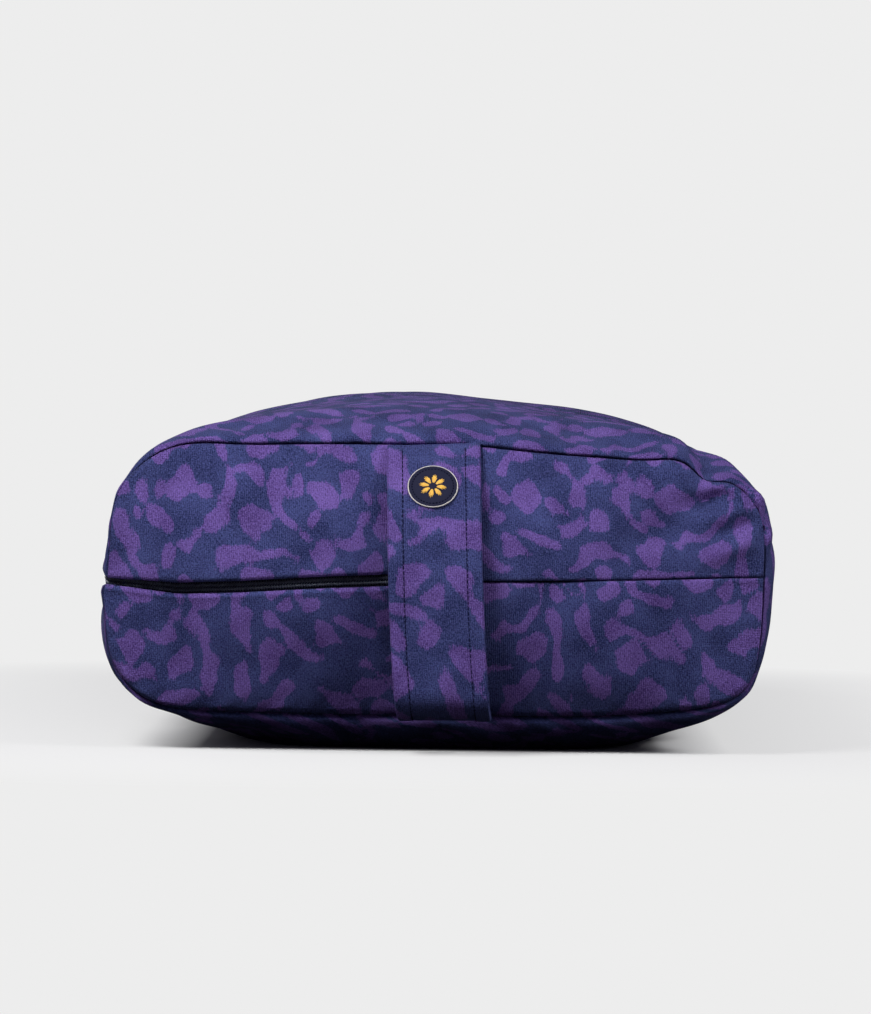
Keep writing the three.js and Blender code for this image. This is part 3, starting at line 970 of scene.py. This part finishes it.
def make_badge(face_material, rim_material):
    """A round patch: a domed face inside a thin pale rim."""
    around = 96
    turn = np.linspace(0, 2 * math.pi, around, endpoint=False)
    centre, radial, out = badge_frame(turn)
    rings = [centre + radial * radius + out * lift for radius, lift in BADGE_PROFILE[1:-1]]
    middle = [centre + out * lift for _, lift in (BADGE_PROFILE[0], BADGE_PROFILE[-1])]
    points = np.concatenate([*rings, middle])
    faces = [face[::-1] for face in capped_faces(len(rings), around)]
    circle = np.stack([np.cos(turn), np.sin(turn)], -1)
    flat = [circle * radius for radius, _ in BADGE_PROFILE[1:-1]]
    flats = np.concatenate([*flat, np.zeros((2, 2))])[np.concatenate(faces)]
    piece = make_piece("badge_patch", points, faces, flats, face_material, ["badge"])
    piece.data.materials.append(rim_material)
    on_rim = [RIM_FIRST <= min(face) // around and max(face) // around <= RIM_LAST for face in faces]
    piece.data.polygons.foreach_set("material_index", np.array(on_rim, dtype=np.int32))


def badge_threads(name, turn, radius, lift, thick, material, runs_round):
    """Threads on the badge, each a row of turns and radii, that run round it or out from its middle."""
    centre, radial, out = badge_frame(turn)
    centres = centre + radial * np.asarray(radius)[..., None] + out * np.array(lift)[None, :, None]
    normals = np.broadcast_to(out, centres.shape)
    sideways = radial if runs_round else np.cross(normals, radial)
    points, faces = rods(centres, sideways, normals, thick, 6)
    make_piece(name, points, faces, None, material)


def make_badge_rosette(material):
    """A small flower of satin stitches, each petal a fan of threads."""
    petal = np.repeat(np.arange(8) * math.pi / 4, 5)
    spread = np.tile(np.radians([-13, -7, 0, 7, 13]), 8)
    far = np.tile([5.0, 6.1, 6.5, 6.1, 5.0], 8)
    share = np.linspace(0, 1, 5)
    radius = mix(1.7, far[:, None], share)
    turn = petal[:, None] + 0.2 + spread[:, None] * (0.5 + 0.5 * share)
    lift = [0.7, 0.92, 0.98, 0.92, 0.7]
    thick = [0.14, 0.3, 0.34, 0.3, 0.14]
    badge_threads("badge_rosette", turn, radius, lift, thick, material, runs_round=False)


def make_badge_stitches(material):
    """The ring of stitches that holds the badge."""
    starts = np.linspace(0, 2 * math.pi, 40, endpoint=False)
    turn = starts[:, None] + np.linspace(-0.052, 0.052, 5)
    lift = [0.5, 0.74, 0.8, 0.74, 0.5]
    thick = [0.12, 0.24, 0.26, 0.24, 0.12]
    badge_threads("badge_stitches", turn, 9.5, lift, thick, material, runs_round=True)


# Materials


# The printed cloth's colours, and the steps of its ribs and cross threads in millimetres
GROUND_DARK = (0.008, 0.011, 0.050, 1)
GROUND_PALE = (0.060, 0.073, 0.214, 1)
MARK_DARK = (0.044, 0.023, 0.112, 1)
MARK_PALE = (0.168, 0.104, 0.362, 1)
RIB_PITCH = 0.95
THREAD_PITCH = 0.7


def add(tree, kind, inputs=(), **settings):
    made = tree.nodes.new("ShaderNode" + kind)
    for key, value in settings.items():
        setattr(made, key, value)
    for key, value in dict(inputs).items():
        if isinstance(value, bpy.types.NodeSocket):
            tree.links.new(value, made.inputs[key])
        else:
            made.inputs[key].default_value = value
    return made


def math_node(tree, operation, *values, clamp=False):
    return add(tree, "Math", dict(enumerate(values)), operation=operation, use_clamp=clamp).outputs[0]


def vector_node(tree, operation, *values, output="Vector"):
    return add(tree, "VectorMath", dict(enumerate(values)), operation=operation).outputs[output]


def scaled(tree, value, factor, plus=0.0, clamp=False):
    """A value times a factor, plus another."""
    return math_node(tree, "MULTIPLY_ADD", value, factor, plus, clamp=clamp)


def noise(tree, vector, scale, detail=2.0):
    inputs = {"Vector": vector, "Scale": scale, "Detail": detail, "Roughness": 0.55}
    return add(tree, "TexNoise", inputs).outputs["Fac"]


def swing_of(tree, value, reach):
    """Moves a 0 to 1 value to lie round 0, from -reach to reach."""
    return scaled(tree, value, 2 * reach, -reach)


def ranged(tree, value, low, high, to_low, to_high, smooth_step=False):
    kind = "SMOOTHSTEP" if smooth_step else "LINEAR"
    inputs = {"Value": value, "From Min": low, "From Max": high, "To Min": to_low, "To Max": to_high}
    return add(tree, "MapRange", inputs, interpolation_type=kind).outputs["Result"]


def blended(tree, share, a, b):
    made = add(tree, "Mix", {0: share, 6: a, 7: b}, data_type="RGBA")
    return made.outputs[2]


def new_material(name):
    material = bpy.data.materials.new(name)
    material.use_nodes = True
    tree = material.node_tree
    return material, tree, tree.nodes["Principled BSDF"]


def weave_of(tree):
    """A piece's flat place in millimetres, and its parts across and along the weave."""
    weave = add(tree, "UVMap", uv_map="weave").outputs[0]
    return weave, add(tree, "SeparateXYZ", {0: weave}).outputs


def dress(tree, shader, colour, rough, height, strength, distance):
    """Gives a shader its colour, its roughness and a bump from a height."""
    tree.links.new(colour, shader.inputs["Base Color"])
    tree.links.new(rough, shader.inputs["Roughness"])
    bump = add(tree, "Bump", {"Height": height, "Strength": strength, "Distance": distance})
    tree.links.new(bump.outputs[0], shader.inputs["Normal"])


def ribbed(tree, weave, parts):
    """Height of the fine upright ribs and the threads that cross them, from 0 to 1."""
    uneven = noise(tree, weave, 0.16)
    shift = scaled(tree, uneven, 9.0)
    ribs = math_node(tree, "SINE", scaled(tree, parts[0], 2 * math.pi / RIB_PITCH, shift))
    threads = math_node(tree, "SINE", scaled(tree, parts[1], 2 * math.pi / THREAD_PITCH))
    return scaled(tree, scaled(tree, threads, 0.35, ribs), 0.37, 0.5)


def printed_cloth():
    material, tree, shader = new_material("printed cloth")
    weave, parts = weave_of(tree)
    edge = add(tree, "Attribute", attribute_name="print").outputs["Fac"]
    stretched = vector_node(tree, "MULTIPLY", weave, (1.1, 0.35, 1.0))
    fray = swing_of(tree, noise(tree, stretched, 1.0), 1.8)
    distance = math_node(tree, "ADD", edge, fray)
    inside = ranged(tree, distance, -0.42, 0.42, 1.0, 0.0, smooth_step=True)
    ribs = ribbed(tree, weave, parts)
    warp = noise(tree, vector_node(tree, "MULTIPLY", weave, (2.6, 0.8, 1.0)), 1.0, 1.0)
    weft = noise(tree, vector_node(tree, "MULTIPLY", weave, (0.9, 2.3, 1.0)), 1.0, 1.0)
    grain = scaled(tree, warp, 0.6, scaled(tree, weft, 0.55))
    cloud = noise(tree, weave, 0.045)
    light = scaled(tree, ribs, 0.11, grain)
    light = scaled(tree, cloud, 0.45, light)
    share = ranged(tree, light, 0.69, 1.03, 0.0, 1.0)
    ground = blended(tree, share, GROUND_DARK, GROUND_PALE)
    mark = blended(tree, share, MARK_DARK, MARK_PALE)
    colour = blended(tree, inside, ground, mark)
    rough = ranged(tree, grain, 0.2, 0.8, 0.78, 0.96)
    height = scaled(tree, ribs, 0.6, scaled(tree, grain, 1.4))
    dress(tree, shader, colour, rough, height, 0.8, 0.0006)
    shader.inputs["Specular IOR Level"].default_value = 0.12
    shader.inputs["Sheen Weight"].default_value = 0.03
    shader.inputs["Sheen Roughness"].default_value = 0.45
    shader.inputs["Sheen Tint"].default_value = (0.6, 0.6, 1.0, 1)
    return material


def grained(name, dark, pale, roughness, scale=2500, shine=0.5):
    """Thread, rim or coil: a colour with an uneven grain of the given scale."""
    material, tree, shader = new_material(name)
    place = add(tree, "TexCoord").outputs["Object"]
    grain = noise(tree, place, scale, 3.0)
    colour = blended(tree, ranged(tree, grain, 0.35, 0.7, 0.0, 1.0), (*dark, 1), (*pale, 1))
    dress(tree, shader, colour, ranged(tree, grain, 0.3, 0.7, *roughness), grain, 0.5, 0.00005)
    shader.inputs["Specular IOR Level"].default_value = shine
    return material


def woven_tape():
    material, tree, shader = new_material("zip tape")
    weave, parts = weave_of(tree)
    slant = math_node(tree, "ABSOLUTE", swing_of(tree, math_node(tree, "PINGPONG", parts[0], 1.0), 0.8))
    down = scaled(tree, parts[1], 7.0)
    lines = math_node(tree, "SINE", scaled(tree, slant, 4.0, down))
    grain = noise(tree, weave, 2.2, 3.0)
    share = scaled(tree, lines, 0.3, grain, clamp=True)
    colour = blended(tree, share, (0.007, 0.009, 0.024, 1), (0.020, 0.024, 0.056, 1))
    dress(tree, shader, colour, ranged(tree, grain, 0.3, 0.7, 0.7, 0.9), lines, 0.6, 0.0001)
    return material


def badge_face():
    """Close woven navy."""
    material, tree, shader = new_material("badge face")
    weave, parts = weave_of(tree)
    grain = noise(tree, weave, 2.6, 3.0)
    threads = math_node(tree, "SINE", scaled(tree, parts[1], 2 * math.pi / 0.45))
    share = scaled(tree, threads, 0.2, grain, clamp=True)
    navy = blended(tree, share, (0.004, 0.0045, 0.017, 1), (0.013, 0.0145, 0.04, 1))
    dress(tree, shader, navy, ranged(tree, grain, 0.3, 0.7, 0.75, 0.9), share, 0.5, 0.00012)
    shader.inputs["Specular IOR Level"].default_value = 0.2
    return material


# Studio


BACKDROP = 0.847
SKY = 0.16
SKY_TINT = (0.88, 0.84, 1.2, 1)
BELOW = 0.02
FLOOR_SEEN = 0.74
FLOOR_BOUNCE = 0.34
# The patch of floor that the piece rests on
CONTACT_SHIFT = (0.003, 0, 0)
CONTACT_HALF = (0.106, 0.28, 0)
# Name, place, aim, power in watts and size
LAMPS = [
    ("key", (-0.42, -0.90, 0.80), (0, -0.34, 0.08), 11.0, 0.4),
    ("side", (1.30, -1.15, 0.95), (0.1, -0.3, 0.08), 16.0, 0.6),
    ("low", (-0.2, -2.4, 0.16), (0, -0.34, 0.03), 0.28, 0.9),
    ("back", (-1.3, 2.0, 0.9), (0, 0.3, 0.08), 18.0, 1.0),
]


def make_floor():
    """A pale floor that shades beside the piece, fades into the backdrop and gives back little light."""
    bpy.ops.mesh.primitive_circle_add(vertices=96, radius=60, fill_type="NGON", location=(0, 0, 0))
    floor = bpy.context.object
    floor.name = "studio_floor"
    material, tree, shader = new_material("studio floor")
    place = add(tree, "TexCoord").outputs["Object"]
    centred = vector_node(tree, "ADD", place, CONTACT_SHIFT)
    outside = vector_node(tree, "SUBTRACT", vector_node(tree, "ABSOLUTE", centred), CONTACT_HALF)
    outside = vector_node(tree, "MAXIMUM", outside, (0, 0, 0))
    away = vector_node(tree, "LENGTH", outside, output="Value")
    faded = ranged(tree, away, 0.0, 0.035, 0.0, 0.7)
    faded = math_node(tree, "ADD", faded, ranged(tree, away, 0.035, 0.24, 0.0, 0.3))
    seen = add(tree, "LightPath").outputs["Is Camera Ray"]
    faded = math_node(tree, "MULTIPLY", faded, seen)
    bounce = ranged(tree, away, 0.02, 0.3, 0.02, FLOOR_BOUNCE)
    level = add(tree, "Mix", {0: seen, 2: bounce, 3: FLOOR_SEEN}).outputs[0]
    tree.links.new(level, shader.inputs["Base Color"])
    shader.inputs["Roughness"].default_value = 0.95
    shader.inputs["Specular IOR Level"].default_value = 0.0
    glow = add(tree, "Emission", {"Strength": BACKDROP}).outputs[0]
    both = add(tree, "MixShader", {0: faded, 1: shader.outputs[0], 2: glow}).outputs[0]
    tree.links.new(both, tree.nodes["Material Output"].inputs["Surface"])
    floor.data.materials.append(material)


def light_studio():
    """A plain pale backdrop for the camera, a soft dome of light over a dim floor, and soft lamps."""
    world = bpy.data.worlds.new("studio")
    world.use_nodes = True
    bpy.context.scene.world = world
    tree = world.node_tree
    direction = add(tree, "TexCoord").outputs["Generated"]
    height = add(tree, "SeparateXYZ", {0: direction}).outputs[2]
    dome = ranged(tree, height, -0.05, 0.25, BELOW, SKY)
    seen = add(tree, "LightPath").outputs["Is Camera Ray"]
    strength = add(tree, "Mix", {0: seen, 2: dome, 3: BACKDROP}).outputs[0]
    background = tree.nodes["Background"]
    tree.links.new(blended(tree, seen, SKY_TINT, (1, 1, 1, 1)), background.inputs["Color"])
    tree.links.new(strength, background.inputs["Strength"])
    for name, place, aim, power, size in LAMPS:
        light = bpy.data.lights.new(name, "AREA")
        light.energy = power
        light.size = size
        holder = new_object(name, light)
        holder.location = place
        holder.rotation_euler = (Vector(aim) - Vector(place)).to_track_quat("-Z", "Y").to_euler()


def set_camera():
    flat = math.cos(VIEW_ELEVATION) * VIEW_DISTANCE
    rise = math.sin(VIEW_ELEVATION) * VIEW_DISTANCE
    place = AIM + Vector((math.sin(VIEW_AZIMUTH) * flat, -math.cos(VIEW_AZIMUTH) * flat, rise))
    facing = (AIM - place).to_track_quat("-Z", "Y").to_matrix().to_4x4()
    data = bpy.data.cameras.new("photo_view")
    data.sensor_width = SENSOR
    data.lens = FOCAL_PIXELS / PHOTO_SIZE[1] * SENSOR
    data.clip_end = 200
    camera = new_object("photo_view", data)
    turned = facing @ Matrix.Rotation(VIEW_ROLL, 4, "Z") @ Matrix.Rotation(VIEW_UP, 4, "X")
    camera.matrix_world = Matrix.Translation(place) @ turned
    bpy.context.scene.camera = camera


def build():
    cloth = printed_cloth()
    tape = woven_tape()
    coil = grained("zip coil", (0.020, 0.024, 0.041), (0.064, 0.075, 0.112), (0.32, 0.45), scale=900)
    thread = grained("dark thread", (0.002, 0.003, 0.012), (0.005, 0.006, 0.024), (0.85, 0.98), shine=0.05)
    gold = grained("gold thread", (0.62, 0.33, 0.035), (0.85, 0.52, 0.09), (0.45, 0.6))
    pale = grained("badge rim", (0.38, 0.36, 0.34), (0.62, 0.59, 0.56), (0.6, 0.8))
    make_wrap(cloth)
    make_panel("panel_upper", "end_panel_upper", 0, 1, -1, 40, (0, 0), cloth)
    make_panel("panel_lower", "end_panel_lower", -1, 0, -1, 50, (83, 40), cloth)
    make_panel("panel_far", "far_end_panel", -1, 1, 1, 60, (40, 90), cloth)
    make_tape(tape)
    make_teeth("zip_teeth_upper", "zip_coil_upper", 1, coil)
    make_teeth("zip_teeth_lower", "zip_coil_lower", -1, coil)
    make_handle(cloth)
    make_topstitch(thread)
    make_badge(badge_face(), pale)
    make_badge_rosette(gold)
    make_badge_stitches(thread)


bpy.context.scene.view_settings.view_transform = "Standard"
build()
make_floor()
light_studio()
set_camera()
